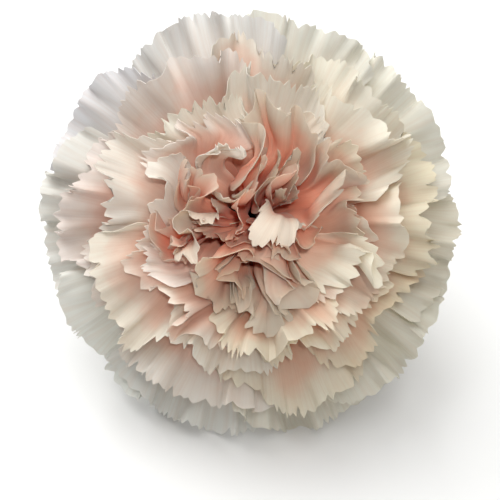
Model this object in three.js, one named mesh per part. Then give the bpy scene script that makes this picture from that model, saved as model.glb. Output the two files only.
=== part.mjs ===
// A cut carnation bloom (Dianthus caryophyllus, full double), laid on a surface. Its stem is cut
// short below the calyx, so it leans on the cut end and on the lowest petals of its collar.
// Millimetres. The bloom is first modelled upright about its own axis, with the receptacle's top at
// height 0, and is then tipped forwards until it rests.
//
// Every petal starts from the flower's cross-section: a disc of radius 1 in which each petal is
// one short arc and no two arcs cross. bloomPoint() carries that disc up the calyx and opens it like
// a fan, so petals that are apart in the disc stay apart all the way to their margins.

import * as THREE from "three";
import { mergeVertices } from "three/addons/utils/BufferGeometryUtils.js";

const rad = THREE.MathUtils.degToRad;
const { lerp, smoothstep } = THREE.MathUtils;

// ---- Bundle of claws inside the calyx ----
const BUNDLE_BASE_RADIUS = 5.8;
const BUNDLE_MOUTH_RADIUS = 6.6;
const CLAW_LENGTH = 24; // petals run straight up for this long, then bend outwards
const PETAL_START = 0.4; // gap between the receptacle and the lowest end of a claw

// ---- How the petals open ----
const BEND_LENGTH = 16; // length over which a petal bends outwards
// Distances beyond the claws are written as blade lengths, from the calyx's mouth on.
const COLLAR_LEAN = rad(103); // lean from the axis of the outermost petals
const LEAN_POWER = 1.15; // how fast the lean falls off towards the middle
const RECURVE = rad(0.4); // further lean for each millimetre beyond the bend
const WIDENING = [-2, 22]; // blade lengths between which a claw widens to its petal's full width
const CLAW_WIDTH_SHARE = 0.34; // a claw's width as a share of its petal's arc

// ---- Petal sheets ----
const CLAW_THICKNESS = 0.2;
const BLADE_THICKNESS = 0.25;
const THICKENING = [0, 20]; // blade lengths between which the sheet thickens
const CORNER_DROP = 6; // how much lower a petal's corners are than the middle of its margin
const CORNER_POWER = 3.2;
const PETAL_COLUMNS = 6;
const HEART_COLUMNS = 8;
const CLAW_ROWS = [PETAL_START, CLAW_LENGTH / 2, CLAW_LENGTH - 1]; // distances along the petal
const BEND_ROWS = [4, 8.5, 13]; // blade lengths
const LOWER_ROWS = [...CLAW_ROWS, ...BEND_ROWS.map((length) => CLAW_LENGTH + length)];
const BLADE_ROWS = 3; // rows from the last of those to the margin
const HEART_BLADE_ROWS = 4;

// ---- Channel for ovary and styles along the axis ----
const OVARY_RADIUS = 1.5;
const OVARY_HEIGHT = 9;
const OVARY_CLEARANCE = 0.4;
const STYLE_RADIUS = 0.18;
const STYLE_CHANNEL = 0.9;
const STYLE_FOOT = 0.35; // distance from the axis of a style's lower end
const STYLE_END = CLAW_LENGTH + 20;
const STYLE_AZIMUTH = rad(215); // the styles rise between the bundles of the heart ...
const STYLE_DISTANCE = 0.065; // ... in disc units from the axis
const STYLE_OFFSET = 0.025;

// ---- Calyx, bracts and stem ----
const CALYX_CLEARANCE = 0.4;
const CALYX_WALL = 0.7;
const CALYX_BOTTOM = -2.4;
const CALYX_NOTCH = CLAW_LENGTH - 1.5; // height of the notches between the teeth
const CALYX_TOOTH = 6.5; // length of a tooth above the notches
const CALYX_TEETH = 5;
const BRACT_GAP = 0.35;
const BRACT_THICKNESS = 0.45;
const BRACT_TOP = 9.5;
const BRACT_HALF_ANGLE = rad(41);
const STEM_RADIUS = 2.3;
const STEM_END = -14;
const NECK_RADIUS = 2.9;
const RECEPTACLE_RADIUS = 5.7;

// Whorls round the axis: rho is the disc radius of the arcs, twist how far each arc leaves its
// circle at the ends so that neighbours overlap, overlap the arc's length over the petals' spacing,
// blade the petals' length beyond the claw, first the azimuth of the first petal in degrees and
// uneven how much the petals' lengths differ.
const WHORLS = [
  {
    name: "collar_petal",
    rho: 0.935,
    twist: 0.045,
    count: 10,
    overlap: 1.5,
    blade: 40.8,
    first: -72,
    uneven: 1.2,
  },
  {
    name: "second_petal",
    rho: 0.81,
    twist: 0.036,
    count: 9,
    overlap: 1.5,
    blade: 36.5,
    first: 10,
    uneven: 4,
  },
  {
    name: "third_petal",
    rho: 0.685,
    twist: 0.036,
    count: 8,
    overlap: 1.45,
    blade: 33.5,
    first: 33,
    uneven: 6,
  },
  {
    name: "fourth_petal",
    rho: 0.56,
    twist: 0.036,
    count: 7,
    overlap: 1.4,
    blade: 30.5,
    first: 75,
    uneven: 6,
  },
];
const AZIMUTH_JITTER = 0.25; // share of the petals' spacing

// Single petals in the corners between the bundles and the fourth whorl.
const CORNER_AZIMUTHS = [118, 213, 335];
const CORNER_PETAL = { rho: 0.44, halfAngle: rad(21), blade: 30 };

// Petal bundles in the heart, each with rings of petals of its own round a centre off the axis.
const BUNDLES = [
  {
    name: "upper_heart_petal",
    azimuth: 45,
    distance: 0.235,
    rings: [
      { rho: 0.225, count: 4, overlap: 1.28, blade: 32, first: 10 },
      { rho: 0.11, count: 3, overlap: 1.1, blade: 29, first: 16 },
    ],
  },
  {
    name: "left_heart_petal",
    azimuth: 170,
    distance: 0.31,
    rings: [{ rho: 0.12, count: 3, overlap: 1.4, blade: 30, first: 80 }],
  },
  {
    name: "lower_heart_petal",
    azimuth: 265,
    distance: 0.3,
    rings: [
      { rho: 0.17, count: 3, overlap: 1.4, blade: 30, first: 50 },
      { rho: 0.07, count: 1, overlap: 1.3, blade: 27, first: 160 },
    ],
  },
];
const HEART_TWIST = 0.042;
const HEART_UNEVEN = 5;

// The upper bundle is rolled up like a bud: the turn at its centre and how far out that reaches.
const BUD_TURN = 1.1;
const BUD_REACH = 0.2;
const BUD_GROWS = [3, 30]; // blade lengths between which the turn grows
// The heart's waves stay low round the bud: how much calmer, and how far that reaches.
const CALM = 0.75;
const CALM_DISC = 0.19; // in disc units
const CALM_BLOOM = 8;
const BUD_DISTANCE = 10; // of the opened bud from the bloom's axis

// Petals whose tops curl outwards, from a distance along the petal on, and their lengths.
const CURLS = {
  upper_heart_petal_1: { start: 29, radius: 14, blade: 34 },
  upper_heart_petal_2: { start: 28, radius: 14, blade: 35 },
  upper_heart_petal_4: { start: 26, radius: 20, blade: 27.5 },
  upper_heart_petal_7: { start: 26, radius: 5, blade: 35 },
  lower_heart_petal_2: { start: 26, radius: 12, blade: 32 },
  lower_heart_petal_3: { start: 26, radius: 12, blade: 32 },
  left_heart_petal_1: { start: 25, radius: 9, blade: 32 },
  left_heart_petal_3: { start: 25, radius: 8, blade: 31.5 },
  corner_petal_3: { start: 25, radius: 11, blade: 33 },
};
const CURL_TOGETHER = 1.3; // how far the columns of a curl turn the same way

// Waves that ruffle the disc: heading in degrees, wavelength and height in disc units, phase.
// Each one slides the disc along itself, so none can fold it over.
const LONG_WAVES = [
  { heading: 20, length: 0.62, height: 0.04, phase: 0.3 },
  { heading: 95, length: 0.55, height: 0.038, phase: 1.9 },
  { heading: 150, length: 0.48, height: 0.034, phase: 4.1 },
  { heading: 60, length: 0.43, height: 0.03, phase: 2.2 },
];
const LONG_WAVES_GROW = [2, 36]; // blade lengths between which the waves grow
const HEART_WAVES = [
  { heading: 35, length: 0.23, height: 0.03, phase: 0.8 },
  { heading: 125, length: 0.21, height: 0.028, phase: 2.1 },
];
const HEART_WAVES_GROW = [4, 28];
const HEART_WAVES_FADE = [0.38, 0.62]; // disc radii

// Waves through the opened bloom: the azimuth and elevation of the way it is shifted and of the way
// the wave runs, wavelength, height and phase, and the radii between which the wave fades.
const FOLDS = [
  { shift: [215, 0], wave: [125, 30], length: 23, height: 2.7, phase: 3.878, fade: [13, 24] },
  { shift: [305, 0], wave: [35, 40], length: 19, height: 2.4, phase: 1.018, fade: [13, 24] },
  { shift: [160, 0], wave: [70, 20], length: 14, height: 1.5, phase: 1.401, fade: [13, 22] },
  { shift: [80, 0], wave: [350, 25], length: 11, height: 1.2, phase: 0.511, fade: [12, 20] },
  { shift: [0, 90], wave: [25, 0], length: 21, height: 1.2, phase: 0.3, fade: [60, 80] },
  { shift: [0, 90], wave: [100, 0], length: 17, height: 1.0, phase: 3.0, fade: [60, 80] },
];
const FOLDS_GROW = [7, 21]; // heights above the claws' tops between which the waves grow

// ---- Materials ----
const PETAL_COLOURS = { collar: 0xe9e4d9, middle: 0xe8d3c0, heart: 0xe2b9a0 };
const matte = (color, roughness = 0.65) =>
  new THREE.MeshStandardMaterial({ color, roughness, metalness: 0 });
const MATERIALS = {
  collar: matte(PETAL_COLOURS.collar),
  middle: matte(PETAL_COLOURS.middle),
  heart: matte(PETAL_COLOURS.heart),
  calyx: matte(0x8fa37a, 0.55),
  bract: matte(0x7d9569, 0.55),
  stem: matte(0x7f9a6c, 0.5),
  ovary: matte(0xb9c48f, 0.5),
  style: matte(0xefe9dc, 0.6),
};

// A repeatable number from 0 to 1 for petal i.
function scatter(i, salt) {
  const v = Math.sin(i * 12.9898 + salt * 78.233 + 4.1) * 43758.5453;
  return v - Math.floor(v);
}

// Distance out and up along an arc of the given length whose lean goes evenly from a to b.
function arcRun(a, b, length) {
  const turn = b - a;
  if (Math.abs(turn) < 1e-5) return { out: Math.sin(a) * length, up: Math.cos(a) * length };
  return {
    out: ((Math.cos(a) - Math.cos(b)) / turn) * length,
    up: ((Math.sin(b) - Math.sin(a)) / turn) * length,
  };
}

// ---- The fan: disc point (x, y) and distance along the petal to a point of the upright bloom ----
function bundleRadius(along) {
  const share = Math.min(Math.max(along / CLAW_LENGTH, 0), 1);
  return lerp(BUNDLE_BASE_RADIUS, BUNDLE_MOUTH_RADIUS, share);
}

function channelRadius(along) {
  const wide = OVARY_RADIUS + OVARY_CLEARANCE;
  const narrowing = smoothstep(along, OVARY_HEIGHT, OVARY_HEIGHT + 6);
  const closing = smoothstep(along, CLAW_LENGTH - 2, CLAW_LENGTH + BEND_LENGTH);
  return lerp(wide, STYLE_CHANNEL, narrowing) * (1 - closing);
}

function leanAt(rho, azimuth) {
  const uneven =
    0.055 * Math.sin(2 * azimuth + 0.7) +
    0.05 * Math.sin(3 * azimuth + 5.5 * rho + 2.0) +
    0.04 * Math.sin(5 * azimuth - 7 * rho + 0.4);
  const amount = smoothstep(rho, 0.15, 0.5) * (1 - 0.5 * smoothstep(rho, 0.7, 0.95));
  return COLLAR_LEAN * rho ** LEAN_POWER * (1 + uneven * amount);
}

function bloomPoint(x, y, along) {
  const rho = Math.hypot(x, y);
  const azimuth = Math.atan2(y, x);
  const lean = leanAt(rho, azimuth);
  const channel = channelRadius(along);
  const start = channel + rho * (bundleRadius(along) - channel);
  const bent = Math.min(Math.max(along - CLAW_LENGTH, 0), BEND_LENGTH);
  const bend = arcRun(0, (lean * bent) / BEND_LENGTH, bent);
  const beyond = Math.max(along - CLAW_LENGTH - BEND_LENGTH, 0);
  const tip = arcRun(lean, lean + RECURVE * beyond * smoothstep(rho, 0.1, 0.6), beyond);
  const radius = start + bend.out + tip.out;
  const height = Math.min(along, CLAW_LENGTH) + bend.up + tip.up;
  return new THREE.Vector3(radius * Math.cos(azimuth), radius * Math.sin(azimuth), height);
}

// A unit vector from its azimuth and elevation in degrees.
function direction(azimuth, elevation) {
  const level = Math.cos(rad(elevation));
  const [x, y] = [level * Math.cos(rad(azimuth)), level * Math.sin(rad(azimuth))];
  return new THREE.Vector3(x, y, Math.sin(rad(elevation)));
}

const onCircle = (azimuth, radius) =>
  new THREE.Vector2(Math.cos(azimuth), Math.sin(azimuth)).multiplyScalar(radius);

const BUD_CENTRE = onCircle(rad(BUNDLES[0].azimuth), BUNDLES[0].distance);
const OPENED_BUD = onCircle(rad(BUNDLES[0].azimuth), BUD_DISTANCE);

// ---- The ruffles: each of these moves a disc point or a bloom point without folding anything ----
function rollBud(disc, along) {
  const nearness = 1 - smoothstep(disc.distanceTo(BUD_CENTRE), 0.02, BUD_REACH);
  disc.rotateAround(BUD_CENTRE, BUD_TURN * smoothstep(along - CLAW_LENGTH, ...BUD_GROWS) * nearness);
}

// How strong the heart's waves are at a distance from the bud, measured in its reach.
const unrest = (away) => 1 - CALM * Math.exp((-away * away) / 2);

function slide(disc, waves, growth) {
  for (const wave of waves) {
    const way = onCircle(rad(wave.heading), 1);
    const turns = disc.dot(way) / wave.length;
    const shift = wave.height * growth(disc) * Math.sin(turns * 2 * Math.PI + wave.phase);
    disc.add(new THREE.Vector2(-way.y, way.x).multiplyScalar(shift));
  }
}

function ruffled(x, y, along) {
  const disc = new THREE.Vector2(x, y);
  const opened = smoothstep(along - CLAW_LENGTH, ...LONG_WAVES_GROW);
  const risen = smoothstep(along - CLAW_LENGTH, ...HEART_WAVES_GROW);
  rollBud(disc, along);
  slide(disc, LONG_WAVES, () => opened);
  slide(disc, HEART_WAVES, () => {
    const inside = 1 - smoothstep(disc.length(), ...HEART_WAVES_FADE);
    return risen * inside * unrest(disc.distanceTo(BUD_CENTRE) / CALM_DISC);
  });
  return disc;
}

// The same waves with their directions worked out, each running at right angles to its shift.
const FOLD_WAVES = FOLDS.map((fold) => {
  const shift = direction(...fold.shift);
  const wave = direction(...fold.wave).projectOnPlane(shift).normalize();
  return { ...fold, shift, wave };
});

function folded(point) {
  for (const { shift, wave, length, height, phase, fade } of FOLD_WAVES) {
    const outside = smoothstep(Math.hypot(point.x, point.y), ...fade);
    const raised = point.z - CLAW_LENGTH;
    const away = Math.hypot(point.x - OPENED_BUD.x, point.y - OPENED_BUD.y);
    const level = shift.z > 0 ? 1 : unrest(away / CALM_BLOOM);
    const amount = smoothstep(raised, ...FOLDS_GROW) * (1 - outside) * level;
    const turns = (point.x * wave.x + point.y * wave.y + raised * wave.z) / length;
    point.addScaledVector(shift, height * amount * Math.sin(turns * 2 * Math.PI + phase));
  }
  return point;
}

// A point of the finished upright bloom from a disc point and the distance along the petal.
function fannedPoint(x, y, along) {
  const disc = ruffled(x, y, along);
  return folded(bloomPoint(disc.x, disc.y, along));
}

// ---- Thin closed solids ----
const EPS = 1e-3; // step for slopes, in millimetres or in grid units

function solidFrom(positions, faces) {
  const geometry = new THREE.BufferGeometry();
  geometry.setAttribute("position", new THREE.Float32BufferAttribute(positions.flat(), 3));
  geometry.setIndex(faces.flat());
  const solid = mergeVertices(geometry, 1e-4);
  solid.computeVertexNormals();
  return solid;
}

// A sheet of the given thickness round surface(u, v), with u and v from the two lists.
function thickSheet(surface, us, vs, thickness) {
  const front = [];
  const back = [];
  for (const v of vs) {
    for (const u of us) {
      const p = surface(u, v);
      const du = surface(u + EPS, v).sub(surface(u - EPS, v));
      const dv = surface(u, v + EPS).sub(surface(u, v - EPS));
      const half = du.cross(dv).setLength(thickness(v) / 2);
      front.push(p.clone().add(half).toArray());
      back.push(p.clone().sub(half).toArray());
    }
  }
  const columns = us.length;
  const rows = vs.length;
  const offset = columns * rows;
  const at = (row, column) => row * columns + column;
  const faces = [];
  const quad = (a, b, c, d) => faces.push([a, b, c], [a, c, d]);
  for (let r = 0; r + 1 < rows; r++) {
    for (let c = 0; c + 1 < columns; c++) {
      const [p, q, s, t] = [at(r, c), at(r, c + 1), at(r + 1, c + 1), at(r + 1, c)];
      quad(p, q, s, t);
      quad(p + offset, t + offset, s + offset, q + offset);
    }
  }
  const rim = [];
  for (let c = 0; c + 1 < columns; c++) rim.push(at(0, c));
  for (let r = 0; r + 1 < rows; r++) rim.push(at(r, columns - 1));
  for (let c = columns - 1; c > 0; c--) rim.push(at(rows - 1, c));
  for (let r = rows - 1; r > 0; r--) rim.push(at(r, 0));
  rim.forEach((a, k) => {
    const b = rim[(k + 1) % rim.length];
    quad(a, a + offset, b + offset, b);
  });
  return solidFrom([...front, ...back], faces);
}

// A ring whose section at each of the azimuths is a closed loop of points.
function sectionRing(section, count) {
  const loops = Array.from({ length: count }, (_, j) => section((j / count) * 2 * Math.PI));
  const size = loops[0].length;
  const faces = [];
  for (let j = 0; j < count; j++) {
    const next = (j + 1) % count;
    for (let k = 0; k < size; k++) {
      const [a, b] = [j * size + k, j * size + ((k + 1) % size)];
      const [c, d] = [next * size + ((k + 1) % size), next * size + k];
      faces.push([a, d, c], [a, c, b]);
    }
  }
  return solidFrom(loops.flat().map((p) => p.toArray()), faces);
}

const steps = (from, to, count) =>
  Array.from({ length: count + 1 }, (_, k) => lerp(from, to, k / count));

// ---- Petals ----
// A petal's point, across from -1 to 1 and along in millimetres, before its top is curled.
function petalPoint(petal, across, along) {
  const open = smoothstep(along - CLAW_LENGTH, ...WIDENING);
  const width = across * lerp(CLAW_WIDTH_SHARE, 1, open);
  const arc = onCircle(petal.azimuth + width * petal.halfAngle, petal.rho + width * petal.twist);
  return fannedPoint(petal.centre.x + arc.x, petal.centre.y + arc.y, along);
}

// Beyond its curl's start a petal rolls outwards from its bundle.
function curledPoint(petal, across, along) {
  const start = CLAW_LENGTH + petal.curl.start;
  const { radius } = petal.curl;
  const slope = (u) => {
    const up = petalPoint(petal, u, start + EPS).sub(petalPoint(petal, u, start - EPS));
    const side = petalPoint(petal, u + EPS, start).sub(petalPoint(petal, u - EPS, start));
    return { up: up.normalize(), out: side.cross(up).normalize() };
  };
  const { up, out } = slope(across);
  out.addScaledVector(slope(0).out, CURL_TOGETHER).normalize();
  const turn = (along - start) / radius;
  return petalPoint(petal, across, start)
    .addScaledVector(up, radius * Math.sin(turn))
    .addScaledVector(out, radius * (1 - Math.cos(turn)));
}

function petalGeometry(petal) {
  const blade = LOWER_ROWS.length - 1; // row numbers beyond this one run on to the margin
  const rows = blade + petal.bladeRows;
  const distance = (across, row) => {
    const margin = CLAW_LENGTH + petal.blade - CORNER_DROP * Math.abs(across) ** CORNER_POWER;
    const below = Math.max(Math.floor(row), 0);
    if (row < blade) return lerp(LOWER_ROWS[below], LOWER_ROWS[below + 1], row - below);
    return lerp(LOWER_ROWS[blade], margin, (row - blade) / petal.bladeRows);
  };
  const surface = (across, row) => {
    const along = distance(across, row);
    const curls = petal.curl && along > CLAW_LENGTH + petal.curl.start;
    return curls ? curledPoint(petal, across, along) : petalPoint(petal, across, along);
  };
  const thickness = (row) =>
    lerp(CLAW_THICKNESS, BLADE_THICKNESS, smoothstep(distance(0, row) - CLAW_LENGTH, ...THICKENING));
  return thickSheet(surface, steps(-1, 1, petal.columns), steps(0, rows, rows), thickness);
}

// Every petal: its name, material, grid and arc in the disc.
function petalList() {
  const petals = [];
  const axis = new THREE.Vector2(0, 0);
  const outer = { columns: PETAL_COLUMNS, bladeRows: BLADE_ROWS };
  const heart = { columns: HEART_COLUMNS, bladeRows: HEART_BLADE_ROWS };
  const add = (petal) => {
    const curl = CURLS[petal.name];
    petals.push({ ...petal, ...(curl && { curl, blade: curl.blade }) });
  };
  for (const whorl of WHORLS) {
    const spacing = (2 * Math.PI) / whorl.count;
    for (let k = 0; k < whorl.count; k++) {
      const i = petals.length;
      add({
        ...outer,
        name: `${whorl.name}_${k + 1}`,
        material: whorl === WHORLS[0] ? MATERIALS.collar : MATERIALS.middle,
        centre: axis,
        rho: whorl.rho,
        azimuth: rad(whorl.first) + (k + AZIMUTH_JITTER * (scatter(i, 1) - 0.5)) * spacing,
        halfAngle: (spacing / 2) * whorl.overlap * lerp(0.92, 1.08, scatter(i, 2)),
        twist: whorl.twist,
        blade: whorl.blade + whorl.uneven * (scatter(i, 3) - 0.5),
      });
    }
  }
  CORNER_AZIMUTHS.forEach((azimuth, k) => {
    add({
      ...heart,
      ...CORNER_PETAL,
      name: `corner_petal_${k + 1}`,
      material: MATERIALS.middle,
      centre: axis,
      azimuth: rad(azimuth),
      twist: 0,
    });
  });
  for (const bundle of BUNDLES) {
    let number = 0;
    for (const ring of bundle.rings) {
      const spacing = (2 * Math.PI) / ring.count;
      for (let k = 0; k < ring.count; k++) {
        number += 1;
        add({
          ...heart,
          name: `${bundle.name}_${number}`,
          material: MATERIALS.heart,
          centre: onCircle(rad(bundle.azimuth), bundle.distance),
          rho: ring.rho,
          azimuth: rad(ring.first) + k * spacing,
          halfAngle: (Math.min(spacing, Math.PI) / 2) * ring.overlap,
          twist: HEART_TWIST,
          blade: ring.blade + HEART_UNEVEN * (scatter(petals.length, 3) - 0.5),
        });
      }
    }
  }
  return petals;
}

// ---- Calyx, bracts, stem, ovary and styles ----
// A point of the calyx's wall, offset outwards from its inner face.
function calyxPoint(offset, along, azimuth) {
  const full = bundleRadius(along) + CALYX_CLEARANCE + offset;
  const under = Math.min(along / (CALYX_BOTTOM - offset), 1);
  const neck = NECK_RADIUS + 0.3 + offset / 2;
  const start = along >= 0 ? full : lerp(neck, full, Math.sqrt(Math.max(1 - under * under, 0)));
  const bent = Math.max(along - CLAW_LENGTH, 0);
  const bend = arcRun(0, (COLLAR_LEAN * bent) / BEND_LENGTH, bent);
  const radius = start + bend.out;
  const height = Math.min(along, CLAW_LENGTH) + bend.up;
  return new THREE.Vector3(radius * Math.cos(azimuth), radius * Math.sin(azimuth), height);
}

function calyxGeometry() {
  const heights = [-1, -0.8, -0.4, 0, 0.25, 0.5, 0.75, 1]; // below 0: shares of the bottom's depth
  const section = (azimuth) => {
    const tooth = Math.abs(((azimuth * CALYX_TEETH) / Math.PI) % 2 - 1); // 1 at a tip, 0 in a notch
    const top = CALYX_NOTCH + CALYX_TOOTH * tooth;
    const wall = (offset) =>
      heights.map((h) => calyxPoint(offset, h < 0 ? -h * (CALYX_BOTTOM - offset) : h * top, azimuth));
    return [...wall(CALYX_WALL), ...wall(0).reverse()];
  };
  return sectionRing(section, CALYX_TEETH * 6);
}

function bractGeometry(azimuth, layer) {
  const offset = CALYX_WALL + BRACT_GAP + BRACT_THICKNESS / 2 + layer * (BRACT_THICKNESS + BRACT_GAP);
  const bottom = -1.6;
  const surface = (across, share) => {
    const along = lerp(bottom, BRACT_TOP * (1 - 0.12 * layer), share);
    const taper = 1 - smoothstep(share, 0.45, 1.02) * 0.96;
    return calyxPoint(offset, along, azimuth + across * BRACT_HALF_ANGLE * taper);
  };
  return thickSheet(surface, steps(-1, 1, 6), steps(0, 1, 7), () => BRACT_THICKNESS);
}

function stemGeometry() {
  const profile = [
    [0, STEM_END],
    [STEM_RADIUS, STEM_END],
    [STEM_RADIUS, -6],
    [NECK_RADIUS, -3.4],
    [NECK_RADIUS, -1.7],
    [RECEPTACLE_RADIUS, -1.0],
    [RECEPTACLE_RADIUS, 0],
    [0, 0],
  ].map(([radius, height]) => new THREE.Vector2(radius, height));
  return new THREE.LatheGeometry(profile, 20).rotateX(Math.PI / 2);
}

function ovaryGeometry() {
  const bottom = 0.35;
  const profile = steps(0, 1, 8).map((share) => {
    const bulge = Math.sin(Math.PI * Math.min(0.12 + share * 0.88, 1)) ** 0.7;
    return new THREE.Vector2(OVARY_RADIUS * bulge, lerp(bottom, OVARY_HEIGHT, share));
  });
  profile.unshift(new THREE.Vector2(0, bottom));
  profile[profile.length - 1].x = 0;
  return new THREE.LatheGeometry(profile, 12).rotateX(Math.PI / 2);
}

function styleGeometry(side) {
  const sideways = STYLE_AZIMUTH + (side * Math.PI) / 2;
  const foot = onCircle(sideways, STYLE_FOOT);
  const place = onCircle(STYLE_AZIMUTH, STYLE_DISTANCE).add(onCircle(sideways, STYLE_OFFSET));
  const points = steps(OVARY_HEIGHT + OVARY_CLEARANCE, STYLE_END, 14).map((along) => {
    const risen = smoothstep(along, CLAW_LENGTH - 6, CLAW_LENGTH + 4);
    return new THREE.Vector3(foot.x, foot.y, along).lerp(
      fannedPoint(place.x, place.y, along),
      risen,
    );
  });
  const section = new THREE.Shape();
  section.absarc(0, 0, STYLE_RADIUS, 0, 2 * Math.PI);
  return new THREE.ExtrudeGeometry(section, {
    extrudePath: new THREE.CatmullRomCurve3(points),
    steps: 16,
    curveSegments: 3,
    bevelEnabled: false,
  });
}

// ---- The bloom, upright about its own axis ----
function named(name, geometry, material) {
  const mesh = new THREE.Mesh(geometry, material);
  mesh.name = name;
  return mesh;
}

const upright = new THREE.Group();
for (const petal of petalList()) {
  upright.add(named(petal.name, petalGeometry(petal), petal.material));
}
upright.add(named("calyx", calyxGeometry(), MATERIALS.calyx));
for (let k = 0; k < 4; k++) {
  const geometry = bractGeometry(rad(45 + 90 * k), k % 2);
  upright.add(named(`bract_${k + 1}`, geometry, MATERIALS.bract));
}
upright.add(named("stem", stemGeometry(), MATERIALS.stem));
upright.add(named("ovary", ovaryGeometry(), MATERIALS.ovary));
upright.add(named("style_1", styleGeometry(1), MATERIALS.style));
upright.add(named("style_2", styleGeometry(-1), MATERIALS.style));

// ---- Tipped forwards over the edge of the stem's cut end until the collar touches as well ----
function leanForward() {
  let least = Math.PI / 2;
  const point = new THREE.Vector3();
  for (const mesh of upright.children) {
    const position = mesh.geometry.getAttribute("position");
    for (let i = 0; i < position.count; i++) {
      point.fromBufferAttribute(position, i);
      const ahead = -point.y - STEM_RADIUS;
      if (ahead > STEM_RADIUS) least = Math.min(least, Math.atan2(point.z - STEM_END, ahead));
    }
  }
  return least;
}

upright.rotation.x = leanForward();
const carnation = new THREE.Group();
carnation.add(upright);
carnation.updateMatrixWorld(true);

// The origin lies under the middle of the bloom, on the surface it rests on.
const box = new THREE.Box3().setFromObject(carnation, true);
const middle = box.getCenter(new THREE.Vector3());
upright.position.set(-middle.x, -middle.y, -box.min.z);

export default carnation;
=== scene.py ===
"""Looks for the cut carnation bloom: fine, toothed and veined petals round the CAD frame.

The bloom's own coordinates are millimetres, upright about its axis, with the receptacle's top at
height 0. The stem in the frame says how the bloom is tipped and where it lies.
Every petal is an arc in the flower's cross-section, a disc of radius 1, swept along its length.
"""
import math

import bpy
import numpy as np
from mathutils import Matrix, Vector


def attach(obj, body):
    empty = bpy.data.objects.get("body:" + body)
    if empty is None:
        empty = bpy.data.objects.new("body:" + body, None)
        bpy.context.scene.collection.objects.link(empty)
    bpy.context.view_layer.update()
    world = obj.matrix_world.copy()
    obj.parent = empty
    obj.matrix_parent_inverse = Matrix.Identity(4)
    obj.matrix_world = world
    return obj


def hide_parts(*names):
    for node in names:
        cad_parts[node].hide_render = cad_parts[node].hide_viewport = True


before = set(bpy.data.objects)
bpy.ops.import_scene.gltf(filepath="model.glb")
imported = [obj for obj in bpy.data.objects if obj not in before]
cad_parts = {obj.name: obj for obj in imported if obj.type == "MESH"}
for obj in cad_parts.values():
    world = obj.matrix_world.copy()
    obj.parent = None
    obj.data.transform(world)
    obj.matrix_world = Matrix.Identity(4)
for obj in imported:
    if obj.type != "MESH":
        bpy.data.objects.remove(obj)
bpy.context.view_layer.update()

TAU = 2 * math.pi
MM = 0.001
SETTLE = 0.0016  # height under which what touches the surface bends along it
SHARP_EDGE = math.radians(50)

# ---- The bloom's sizes, as in the CAD ----
BUNDLE_BASE_RADIUS, BUNDLE_MOUTH_RADIUS = 5.8, 6.6
CLAW_LENGTH = 24.0
BEND_LENGTH = 16.0
COLLAR_LEAN = math.radians(103)
LEAN_POWER = 1.15
# how unevenly the rows lean: amount, turns round the axis, turns with the disc radius, phase
LEAN_WAVES = [(0.055, 2, 0, 0.7), (0.05, 3, 5.5, 2.0), (0.04, 5, -7, 0.4)]
RECURVE = math.radians(0.4)  # per millimetre beyond the bend
PETAL_WIDTH_FROM, PETAL_WIDTH_TO = 22.0, 46.0
CLAW_WIDTH_SHARE = 0.34
OVARY_RADIUS, OVARY_HEIGHT, OVARY_CLEARANCE = 1.5, 9.0, 0.4
OVARY_BOTTOM = 0.35
STYLE_RADIUS, STYLE_CHANNEL, STYLE_FOOT, STYLE_END = 0.18, 0.9, 0.35, 44.0
STYLE_AZIMUTH, STYLE_DISTANCE, STYLE_OFFSET = math.radians(215), 0.065, 0.025
CALYX_CLEARANCE, CALYX_WALL, CALYX_BOTTOM = 0.4, 0.7, -2.4
CALYX_NOTCH, CALYX_TOOTH, CALYX_TEETH = 22.5, 6.5, 5
BRACT_GAP, BRACT_THICKNESS = 0.35, 0.45
BRACT_BOTTOM, BRACT_TOP = -1.6, 9.5
BRACT_COUNT, BRACT_HALF_ANGLE = 4, math.radians(41)
STEM_RADIUS, STEM_END = 2.3, -14.0
NECK_RADIUS, RECEPTACLE_RADIUS = 2.9, 5.7
NECK_FROM, NECK_TO = -6, -3.4

# name, disc radius, twist, count, overlap, length, first azimuth, length jitter
WHORLS = [
    ("collar_petal", 0.935, 0.045, 10, 1.5, 64.8, -72, 1.2),
    ("second_petal", 0.81, 0.036, 9, 1.5, 60.5, 10, 4.0),
    ("third_petal", 0.685, 0.036, 8, 1.45, 57.5, 33, 6.0),
    ("fourth_petal", 0.56, 0.036, 7, 1.4, 54.5, 75, 6.0),
]
AZIMUTH_JITTER = 0.25
NARROWEST, WIDEST = 0.92, 1.08  # of a row's petals, as a share of their usual width
CORNER_AZIMUTHS = [118, 213, 335]
CORNER_RHO, CORNER_HALF_ANGLE, CORNER_LENGTH = 0.44, math.radians(21), 54.0
# name, azimuth, distance, rings of (disc radius, count, overlap, length, first azimuth)
BUNDLES = [
    ("upper_heart_petal", 45, 0.235, [(0.225, 4, 1.28, 56.0, 10), (0.11, 3, 1.1, 53.0, 16)]),
    ("left_heart_petal", 170, 0.31, [(0.12, 3, 1.4, 54.0, 80)]),
    ("lower_heart_petal", 265, 0.3, [(0.17, 3, 1.4, 54.0, 50), (0.07, 1, 1.3, 51.0, 160)]),
]
BUNDLE_SPREAD = 5.0
HEART_TWIST = 0.042
# small folded petals in the middle of the bundles: bundle, disc radius, azimuth, length
INNER_FOLDS = [
    (0, 0.062, 20, 55.5), (0, 0.055, 150, 56.5), (0, 0.03, 250, 54.5),
    (1, 0.055, 60, 53.0), (1, 0.05, 240, 52.0), (2, 0.115, 20, 54.0), (2, 0.11, 200, 53.5),
]
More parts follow.
